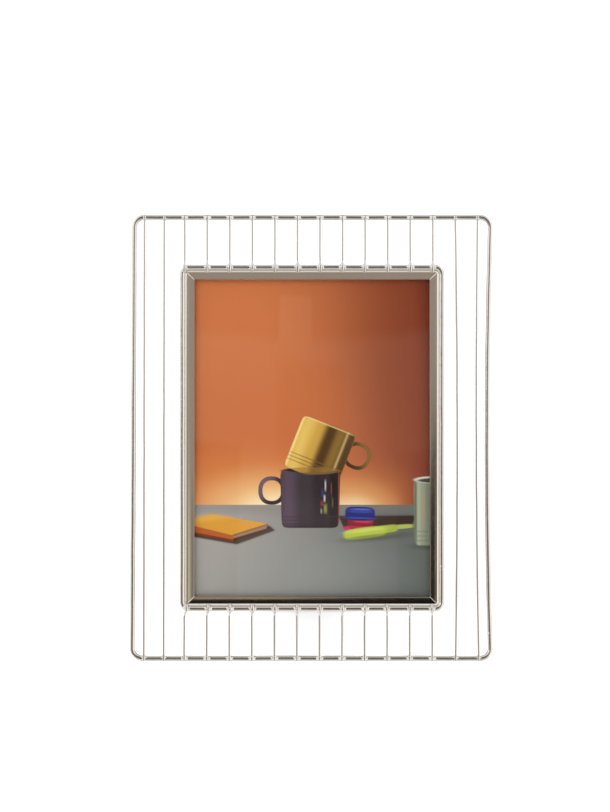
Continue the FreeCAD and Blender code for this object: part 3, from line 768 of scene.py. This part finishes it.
class Upright:
    """One thin wire, as the CAD node that it stands for and its line."""

    NEAR = 9  # how much of the wire, above and below a bead, the bead's shape looks at

    def __init__(self, node, line):
        self.node = node
        self.line = line
        self.ends = line[:, 2].min(), line[:, 2].max()

    def distance(self, points):
        """Distance from the wire's surface, whose ends count as round here."""
        nearest = np.full(points.shape[:-1], FAR)
        z = self.line[:, 2]
        inside = (z > self.ends[0] + THIN_R) & (z < self.ends[1] - THIN_R)
        close = self.line[inside & (np.abs(z - points[..., 2].mean()) < self.NEAR)]
        for a, b in zip(close, close[1:]):
            along = b - a
            share = np.clip(((points - a) @ along) / (along @ along), 0, 1)
            off = points - (a + share[..., None] * along)
            nearest = np.minimum(nearest, np.linalg.norm(off, axis=-1))
        return nearest - THIN_R

    def at_height(self, z):
        order = np.argsort(self.line[:, 2])
        line = self.line[order]
        return np.array([np.interp(z, line[:, 2], line[:, i]) for i in range(3)])

    def build(self, name, finish, seed):
        gone = lengths_along(self.line)
        line = self.line.copy()
        held = np.sin(math.pi * gone / gone[-1])
        line[:, 0] += held * waver(gone, seed, *BAR_WANDER)
        centres, radii = cut_ends(line, THIN_R)
        points, faces = tube(centres, radii, THIN_SIDES, (1, 0, 0))
        return piece(name, points, faces, finish, "bar_plating", [self.node])


def side_uprights(outer):
    """The four full-height wires, leaning and bowed as they were bent by hand."""
    made = []
    for node, (bow, leans) in SIDE_WIRES.items():
        low, high = box_in(node)
        x = high[0] - THIN_R if bow < 0 else low[0] + THIN_R
        y = (low[1] + high[1]) / 2
        z = np.linspace(low[2] + WELDED_END, high[2] - WELDED_END, 90)
        share = (z - outer.middle_z) / (outer.half_h + HEAVY_R)
        lean = np.interp(share, (-1, 1), leans)
        line = np.stack([x + bow * (1 - share**2) + lean, np.full_like(z, y), z], -1)
        made.append(Upright(node, line))
    return made


def short_uprights(outer, inner):
    """The twenty-four bars, each bent forwards and over the inner loop."""
    made = []
    for node in sorted(n for n in frame["nodes"] if "_bar_" in n):
        low, high = box_in(node)
        side = 1 if node.startswith("top") else -1
        chance = random.Random(node)
        shift = high[0] - low[0] - 2 * THIN_R
        start_z, end_z = (high[2], low[2]) if side > 0 else (low[2], high[2])
        start_z -= side * WELDED_END
        ring_z = inner.middle_z + side * inner.half_h
        x = low[0] + THIN_R + (TOP_BARS_RIGHT if side > 0 else 0.0)
        over = x + shift + chance.uniform(-BAR_SWAY, BAR_SWAY)
        back, front = high[1] - THIN_R, low[1] + THIN_R
        points = [
            (x, back, start_z),
            (x, back, ring_z + side * BAR_RISE_START),
            (over, front, ring_z + side * BAR_RISE_END),
            (over, front, end_z),
        ]
        made.append(Upright(node, bent_line(points, BAR_BEND_RS)))
    return made


BEAD_STEP = 0.24
BEAD_PROUD = 0.03
BEAD_REACH = (3.4, 2.9, 3.1)
BEAD_BLEND = (1.5, 2.1)
BEAD_RIPPLE = 0.03
BEAD_SINK = 0.10  # how far its rim sinks into the wires
LUMP_R = 1.25
LUMP_REACH = 0.6
LUMP_SLOPE = 0.08


def weld_bead(loop, upright, side, chance):
    """The melted saddle where an upright lies across a loop."""
    x = upright.at_height(loop.middle_z + side * loop.half_h)[0]
    at = upright.at_height(loop.height_at(x, side))
    at[1] = (at[1] + THIN_R + loop.y - HEAVY_R) / 2
    blend = chance.uniform(*BEAD_BLEND)
    reach = np.array(BEAD_REACH) * chance.uniform(0.92, 1.05)
    lump = np.array([chance.uniform(-0.5, 0.5) for _ in range(3)])
    phase = [chance.uniform(0, 6) for _ in range(3)]

    def field(points):
        a = loop.distance(points)
        b = upright.distance(points)
        near = np.maximum(blend - np.abs(a - b), 0) / blend
        joined = np.minimum(a, b) - near**2 * blend / 4
        off = np.linalg.norm((points - at) / reach, axis=-1)
        ripple = BEAD_RIPPLE * np.sin(points[..., 0] * 3.1 + phase[0]) * near
        ripple += BEAD_RIPPLE * np.sin(points[..., 2] * 3.7 + phase[1]) * near
        from_lump = np.linalg.norm(points - at - lump * (1, 0.1, 1), axis=-1) - LUMP_R
        joined -= LUMP_SLOPE * np.maximum(LUMP_REACH - from_lump, 0)
        sink = BEAD_SINK * np.clip((off - 0.55) / 0.4, 0, 1) ** 2
        return np.maximum(joined - BEAD_PROUD + ripple + sink, (off - 1) * 2.0)

    pad = np.array(BEAD_REACH) * 1.1 + BEAD_STEP
    return surface_net(field, at - pad, at + pad, BEAD_STEP)


def weld_beads(name, loop, uprights, side, finish, seed):
    """All the beads along one side of a loop, as one piece."""
    chance = random.Random(seed)
    points, faces = [], []
    for upright in uprights:
        bead_points, bead_faces = weld_bead(loop, upright, side, chance)
        start = len(points)
        points += [tuple(p) for p in bead_points]
        faces += [tuple(i + start for i in face) for face in bead_faces]
    return piece(name, points, faces, finish, "bar_plating", sharp=180)


SEAM_R = 0.2
SEAM_FORWARD = 0.62


def solder_seam(inner, finish):
    """The thin uneven line of solder in the groove between the inner loop and the moulding."""
    half_w = inner.half_w - HEAVY_R
    half_h = inner.half_h - HEAVY_R
    line = loop_line(half_w, half_h, RAIL_CORNER_R, inner.y - SEAM_FORWARD, inner.middle_z, 0.8, 8)
    swell = waver(lengths_along(line), 5, 0.035, (9.1, 5.3, 17.0))
    points, faces = tube(line, SEAM_R + swell, 10, (0, 1, 0), closed=True)
    return piece("solder_seam", points, faces, finish, "moulding_plating")


# ---- Moulding ----

RAIL_STATIONS = 44
RAIL_SWAY = (0.012, (61, 34, 47))  # how far its face wavers, and over what lengths
MITRE_DEPTH = 0.09
MITRE_HALF_W = 0.26
MITRE_FADE = 1.5
MITRE_RINGS = (0.0, 0.12, 0.35, 0.7, 1.2, 1.8, 2.6, 3.6)
SHOULDER_R = 0.3  # outer edge, which turns into the sloping shoulder
SHOULDER_OUT = 0.12  # how far it leans over the groove beside the inner loop
SHOULDER_BACK = 0.97
SHOULDER_SLOPE = 27  # degrees outwards
CREST_R = 0.12
CREST_IN = 1.38
CREST_INNER_TURN = 8
CREASE_DIP = 0.03
RIM_W = 0.55  # the flat cut edge next to the picture
SIGHT_DEPTH = 0.83
BEVEL_HOLLOW = 0.037
BEVEL_SPAN = (2.0, 5.5)
FACE_DEPTH = 1.2  # what lies nearer the front than this belongs to the face
MITRED_DEPTH = 1.3
WALL_T = 1.0
LIP_W = 1.6  # return at the back
LIP_T = 1.0


def eased(corner, before, after, size, count=4):
    """A small round in place of a sharp corner of the section."""
    corner, before, after = (np.array(p, float) for p in (corner, before, after))
    start = corner + unit(before - corner) * size
    end = corner + unit(after - corner) * size
    shares = np.linspace(0, 1, count)[:, None]
    return (1 - shares) ** 2 * start + 2 * shares * (1 - shares) * corner + shares**2 * end


def turned_edge(centre, radius, first, last, count):
    """Part of a round edge, from one tilt of its surface to another. Inward tilts are positive."""
    tilt = np.radians(np.linspace(first, last, count))
    return np.stack([centre[0] + radius * np.sin(tilt), centre[1] - radius * np.cos(tilt)], -1)


def rail_section(depth):
    """The folded sheet's closed outline, as inward distance and depth."""
    width, glass = depth["width"], depth["glass"]
    front, sight, back = depth["front"], depth["sight"], depth["back"]
    lip, lip_edge = back - LIP_T, WALL_T + LIP_W
    outer_at = (SHOULDER_R - SHOULDER_OUT, front + SHOULDER_BACK)
    outer = turned_edge(outer_at, SHOULDER_R, -90, -SHOULDER_SLOPE, 7)
    crest_at = (CREST_IN, front + CREST_R + 0.02)
    crest = turned_edge(crest_at, CREST_R, -SHOULDER_SLOPE, CREST_INNER_TURN, 7)
    crease = CREST_IN + CREST_R
    run = np.linspace(0, 1, 9)
    valley, drop = front + CREASE_DIP, sight - front - CREASE_DIP
    hollow = BEVEL_HOLLOW * 4 * run * (1 - run)
    bevel = np.stack([crease + (width - RIM_W - crease) * run, valley + drop * run + hollow], -1)
    rim_edge = (width, sight + 0.02)
    corners = [
        eased((0, back), (1, back), (0, front), 0.15),
        outer,
        crest,
        bevel,
        eased(rim_edge, bevel[-1], (width, glass), 0.08, 3),
        eased((width, glass), (width, sight), (2.0, glass - 1.5), 0.1, 3),
        [(2.05, glass - 1.45), (WALL_T, glass - 0.45), (WALL_T, lip)],
        eased((lip_edge, lip), (WALL_T, lip), (lip_edge, back), 0.1, 3),
        eased((lip_edge, back), (lip_edge, lip), (0, back), 0.2, 3),
    ]
    return np.concatenate([np.array(c, float) for c in corners])


def rail_mesh(node, section, across, along, place, finish, seed):
    """One mitred side. place turns (along, outwards, y) into panel coordinates."""
    straight = along - RAIL_CORNER_R
    front = section[:, 1].min()

    def at(distance, inwards):
        """How far along and inwards a point lies, this far from the mitre round the corner."""
        reach = max(RAIL_CORNER_R - inwards, 0.0)
        turn = math.pi / 4 - distance / reach if reach > 0 else -1.0
        if turn > 0:
            return straight + reach * math.sin(turn), RAIL_CORNER_R - reach * math.cos(turn)
        if reach > 0:
            return straight - (distance - reach * math.pi / 4), inwards
        return along - inwards - distance, inwards

    def end_ring(distance, sign):
        dip = MITRE_DEPTH * max(1 - distance / MITRE_HALF_W, 0.0) ** MITRE_FADE
        ring = []
        for inwards, y in section:
            far, inset = at(distance, inwards)
            on_face = y < front + MITRED_DEPTH
            ring.append(place(sign * far, across - inset, y + dip * on_face))
        return ring

    def middle_ring(share, dip):
        ring = []
        for inwards, y in section:
            on_bevel = BEVEL_SPAN[0] < inwards < BEVEL_SPAN[1] and y < front + FACE_DEPTH
            far = at(MITRE_RINGS[-1], inwards)[0]
            ring.append(place(share * far, across - inwards, y + dip * on_bevel))
        return ring

    shares = np.linspace(-1, 1, RAIL_STATIONS)[1:-1]
    sway = waver(shares * along, seed, *RAIL_SWAY)
    rings = [end_ring(distance, -1) for distance in MITRE_RINGS]
    rings += [middle_ring(share, dip) for share, dip in zip(shares, sway)]
    rings += [end_ring(distance, 1) for distance in reversed(MITRE_RINGS)]
    faces = ring_faces(len(rings), len(section), False)
    points = np.array(rings).reshape(-1, 3)
    return piece(node + "_moulding", points, faces, finish, "moulding_plating", [node], sharp=40)


def moulding(finish):
    """The four mitred sides, which turn one section round the glass."""
    left_low, left_high = box_in("left_rail")
    glass_low, glass_high = box_in("glass_pane")
    front, back = left_low[1], left_high[1]
    depth = {"front": front, "sight": front + SIGHT_DEPTH, "glass": glass_low[1], "back": back}
    depth["width"] = left_high[0] - left_low[0]
    section = rail_section(depth)
    middle_z = (glass_low[2] + glass_high[2]) / 2
    half_w = (box_in("right_rail")[1][0] - left_low[0]) / 2
    half_h = box_in("top_rail")[1][2] - middle_z
    places = {
        "left_rail": (half_w, half_h, lambda a, o, y: (-o, y, middle_z + a)),
        "right_rail": (half_w, half_h, lambda a, o, y: (o, y, middle_z - a)),
        "top_rail": (half_h, half_w, lambda a, o, y: (a, y, middle_z + o)),
        "bottom_rail": (half_h, half_w, lambda a, o, y: (-a, y, middle_z - o)),
    }
    for seed, (node, (across, along, place)) in enumerate(places.items()):
        rail_mesh(node, section, across, along, place, finish, seed)


# ---- Picture and boards ----


def slab(low, high, edge, steps=3):
    """A flat sheet with small rounded edges all round: points and faces."""
    turn = np.linspace(0, math.pi / 2, steps)
    rounds = [(edge * (1 - math.sin(a)), edge * (1 - math.cos(a))) for a in turn]
    levels = [(inset, low[1] + depth) for inset, depth in rounds]
    levels += [(inset, high[1] - depth) for inset, depth in reversed(rounds)]
    rings = []
    for inset, y in levels:
        left, right, foot, top = low[0] + inset, high[0] - inset, low[2] + inset, high[2] - inset
        rings.append([(left, y, foot), (right, y, foot), (right, y, top), (left, y, top)])
    return np.array(rings).reshape(-1, 3), ring_faces(len(rings), 4, False)


STEEL_EDGE = 0.12
RIVET_EDGE = 0.08
BOARD_EDGE = 0.25
FLAT_ANGLE = 0.5  # degrees; the CAD's facets that meet at less are one face
EDGE_ANGLE = 0.6  # radians; edges sharper than this are rounded off
BODY_OF = {
    node: body
    for body, nodes in frame["record"]["behaviour"]["bodies"].items()
    for node in nodes
}


def refined(node, name, finish, edge):
    """A CAD solid with its edges rounded off and its round faces smooth."""
    work = bmesh.new()
    work.from_mesh(frame["nodes"][node].data)
    bmesh.ops.remove_doubles(work, verts=work.verts, dist=1e-6)
    flat = math.radians(FLAT_ANGLE)
    bmesh.ops.dissolve_limit(work, angle_limit=flat, verts=work.verts, edges=work.edges)
    sharp = [e for e in work.edges if len(e.link_faces) == 2 and e.calc_face_angle() > EDGE_ANGLE]
    shape = {"offset": edge * MM, "segments": 2, "profile": 0.5, "clamp_overlap": True}
    bmesh.ops.bevel(work, geom=sharp, affect="EDGES", **shape)
    bmesh.ops.triangulate(work, faces=[f for f in work.faces if len(f.verts) > 4])
    return finished(name, work, 21, finish, BODY_OF[node], [node])


def hardware(steel, rivets):
    """Hinge leaves, pin, rivets and turn buttons."""
    corners = ("lower_left", "lower_right", "upper_left", "upper_right")
    nodes = ["hinge_leaf_fixed", "hinge_pin", "hinge_leaf_moving"]
    nodes += ["hinge_rivets_fixed", "turn_button_rivets", "hinge_rivets_moving"]
    nodes += ["turn_button_" + corner for corner in corners]
    for node in nodes:
        if "rivets" in node:
            refined(node, node + "_heads", rivets, RIVET_EDGE)
        else:
            refined(node, node + "_steel", steel, STEEL_EDGE)


def edge_faces(made, finish, facing):
    """Gives the faces that don't look along facing, or against it, a second material."""
    made.data.materials.append(finish)
    for face in made.data.polygons:
        if abs(face.normal.dot(facing)) < 0.5:
            face.material_index = 1


def wirework(finish):
    """Both loops, the uprights, the welds where they cross and the solder round the moulding."""
    outer = Loop("outer_wire_loop", RIGHT_SIDE_BOW, LEFT_SIDE_LEAN)
    inner = Loop("inner_wire_loop")
    outer.build("outer_loop_wire", finish, 11)
    inner.build("inner_loop_wire", finish, 23)
    sides = side_uprights(outer)
    bars = short_uprights(outer, inner)
    for index, upright in enumerate(sides + bars):
        upright.build(upright.node + "_wire", finish, 100 + index)
    top = [bar for bar in bars if bar.node.startswith("top")]
    bottom = [bar for bar in bars if bar.node.startswith("bottom")]
    weld_beads("weld_beads_outer_top", outer, sides + top, 1, finish, 1)
    weld_beads("weld_beads_outer_bottom", outer, sides + bottom, -1, finish, 2)
    weld_beads("weld_beads_inner_top", inner, top, 1, finish, 3)
    weld_beads("weld_beads_inner_bottom", inner, bottom, -1, finish, 4)
    solder_seam(inner, finish)


def print_sheet():
    """The picture, with a map that runs from 0 to 1 across it and up it."""
    low, high = box_in("photo_print")
    width, height = high[0] - low[0], high[2] - low[2]
    finish = printed_paper("still_life_print", width, height)
    made = piece("photo_print_sheet", *slab(low, high, 0.05), finish, "photo_paper", ["photo_print"])
    uv = made.data.uv_layers.new(name="picture")
    for loop in made.data.loops:
        at = TO_PANEL @ made.data.vertices[loop.vertex_index].co
        uv.data[loop.index].uv = ((at.x - low[0]) / width, (at.z - low[2]) / height)


def sheets_and_boards():
    print_sheet()
    glass = clear_glass("window_glass")
    piece("glass_sheet", *slab(*box_in("glass_pane"), 0.25), glass, "clear_glass", ["glass_pane"])
    card = fibre_edge("paperboard", colour("b7a88f"), colour("8f8069"), 2.0)
    piece("backing_card_sheet", *slab(*box_in("backing_card"), 0.1), card, "card", ["backing_card"])
    black = covered_board("black_grained_paper")
    core = fibre_edge("hardboard_edge", colour("8a6344"), colour("5b3d27"), 1.0)
    flat = slab(*box_in("backboard"), 0.3)
    board = piece("backboard_panel", *flat, black, "covered_board", ["backboard"])
    edge_faces(board, core, BACKWARDS)
    hardware(zinc("zinc_plate", colour("b9bab6")), zinc("rivet_plate", colour("c4c2bb")))
    leg = refined("leg_board", "leg_panel", black, BOARD_EDGE)
    edge_faces(leg, core, LEG_BACKWARDS)


# ---- Stage ----


FLOOR_GLOW = 0.62  # keeps the shadows on the white floor faint
FLOOR_REACH = 6.0
OPEN_LIGHT = (1.25, 1.245, 1.23)
OVERHEAD = (0.98, 0.97, 0.95)
BEHIND = (0.34, 0.325, 0.30)
SURROUNDINGS = (
    ((-29, 29), (-34, 62), 2.5, (0.42, 0.365, 0.315)),
    ((-12, 12), (-36, -15), 2.0, (0.14, 0.12, 0.10)),
    ((-6, 6), (6, 24), 1.5, (0.15, 0.13, 0.115)),
    ((-30, 30), (27, 60), 1.2, (0.006, 0.006, 0.006)),
    ((-6, 0.2), (26, 32.8), 0.5, (0.50, 0.42, 0.30)),
    ((-58, -30), (-24, 12.5), 2, (0.36, 0.30, 0.25)),
    ((-31, -12), (-24, 13.0), 0.5, (0.008, 0.008, 0.008)),
    ((-31, -24.0), (-24, 11.8), 0.5, (0.33, 0.27, 0.18)),
    ((14, 31), (-24, 11.4), 0.4, (0.66, 0.62, 0.42)),
    ((14, 21.8), (-24, 11.8), 0.5, (0.25, 0.215, 0.225)),
)  # what shines in the metal: azimuth, elevation and blur in degrees, then tint


def stage_floor():
    mesh = bpy.data.meshes.new("floor")
    corners = [(x * FLOOR_REACH, y * FLOOR_REACH, 0) for x, y in ((-1, -1), (1, -1), (1, 1), (-1, 1))]
    mesh.from_pydata(corners, [], [(0, 1, 2, 3)])
    floor = bpy.data.objects.new("floor", mesh)
    bpy.context.scene.collection.objects.link(floor)
    made, n, shader, where = material("pale_floor")
    mottled = n.noise(where, 3.0, 2.0, 0.5)
    look = {"Base Color": n.mix(mottled, (0.93, 0.93, 0.93), (0.96, 0.96, 0.955)), "Roughness": 0.8}
    look.update({"Emission Color": (1.0, 1.0, 1.0), "Emission Strength": FLOOR_GLOW})
    n.fill(shader, look)
    mesh.materials.append(made)
    floor.visible_glossy = False
    floor.visible_transmission = False


def studio_world():
    """White light all round. In shiny surfaces the first reflection shows SURROUNDINGS instead."""
    world = bpy.data.worlds.new("studio")
    bpy.context.scene.world = world
    world.use_nodes = True
    n = Nodes(world.node_tree)
    background = world.node_tree.nodes["Background"]
    direction = n.add("ShaderNodeTexCoord").outputs["Generated"]
    x, y, z = n.add("ShaderNodeSeparateXYZ", {0: direction}).outputs
    azimuth = n.math("ARCTAN2", x, n.math("MULTIPLY", y, -1.0))
    elevation = n.math("ARCSINE", z)

    def band(value, low, high, soft):
        low, high, soft = (math.radians(v) for v in (low, high, soft))
        rising = n.smooth(value, low - soft, low + soft)
        falling = n.smooth(value, high - soft, high + soft, 1.0, 0.0)
        return n.math("MULTIPLY", rising, falling)

    def patch(az, el, soft):
        return n.math("MULTIPLY", band(azimuth, *az, soft), band(elevation, *el, soft))

    steep = n.smooth(n.math("ABSOLUTE", elevation), math.radians(35), math.radians(60))
    seen = n.mix(steep, OPEN_LIGHT, OVERHEAD)
    behind = n.smooth(n.math("ABSOLUTE", azimuth), math.radians(135), math.radians(165))
    level = n.math("SUBTRACT", 1.0, steep)
    seen = n.mix(n.math("MULTIPLY", behind, level), seen, BEHIND)
    for az, el, soft, tint in SURROUNDINGS:
        seen = n.mix(patch(az, el, soft), seen, tint)
    rays = n.add("ShaderNodeLightPath").outputs
    sharp = n.math("MAXIMUM", rays["Is Glossy Ray"], rays["Is Transmission Ray"])
    sharp = n.math("MULTIPLY", sharp, n.math("LESS_THAN", rays["Glossy Depth"], 1.5))
    n.fill(background, {"Color": n.mix(sharp, (1.0, 1.0, 1.0), seen), "Strength": 1.0})


def soft_light(name, at, aim, size, power):
    lamp = bpy.data.lights.new(name, "AREA")
    lamp.energy = power
    lamp.size = size
    lit = bpy.data.objects.new(name, lamp)
    lit.location = at
    lit.rotation_euler = (Vector(aim) - Vector(at)).to_track_quat("-Z", "Y").to_euler()
    lit.visible_glossy = False
    bpy.context.scene.collection.objects.link(lit)


CAMERA_DISTANCE = 1400.0
VIEW_HEIGHT = 497.8  # millimetres of the panel's plane, from the picture's bottom to its top
SENSOR = 36.0
AIM = (-4.3, 0.0, 156.4)


def place_camera():
    """Square on to the leaning panel, a little above its middle."""
    data = bpy.data.cameras.new("camera")
    data.sensor_width = SENSOR
    data.lens = SENSOR * CAMERA_DISTANCE / VIEW_HEIGHT
    camera = bpy.data.objects.new("camera", data)
    turn = Matrix.Rotation(-LEAN, 4, "X") @ Matrix.Rotation(math.radians(90), 4, "X")
    at = PANEL @ Vector((AIM[0], AIM[1] - CAMERA_DISTANCE, AIM[2]))
    camera.matrix_world = Matrix.Translation(at) @ turn
    bpy.context.scene.collection.objects.link(camera)
    bpy.context.scene.camera = camera


wire_nickel = plated("wire_nickel", ((0.72, 0.695, 0.67), (0.69, 0.665, 0.635)), 0.07, 0.25, 0.4)
warm_nickel = plated("warm_nickel", ((0.68, 0.635, 0.57), (0.65, 0.605, 0.54)), 0.05, 0.01, 0.12)
wirework(wire_nickel)
moulding(warm_nickel)
sheets_and_boards()
stage_floor()
studio_world()
soft_light("key", (-0.9, -0.9, 1.4), (0, 0, 0.12), 0.9, 6.0)
place_camera()
bpy.context.scene.view_settings.view_transform = "Standard"
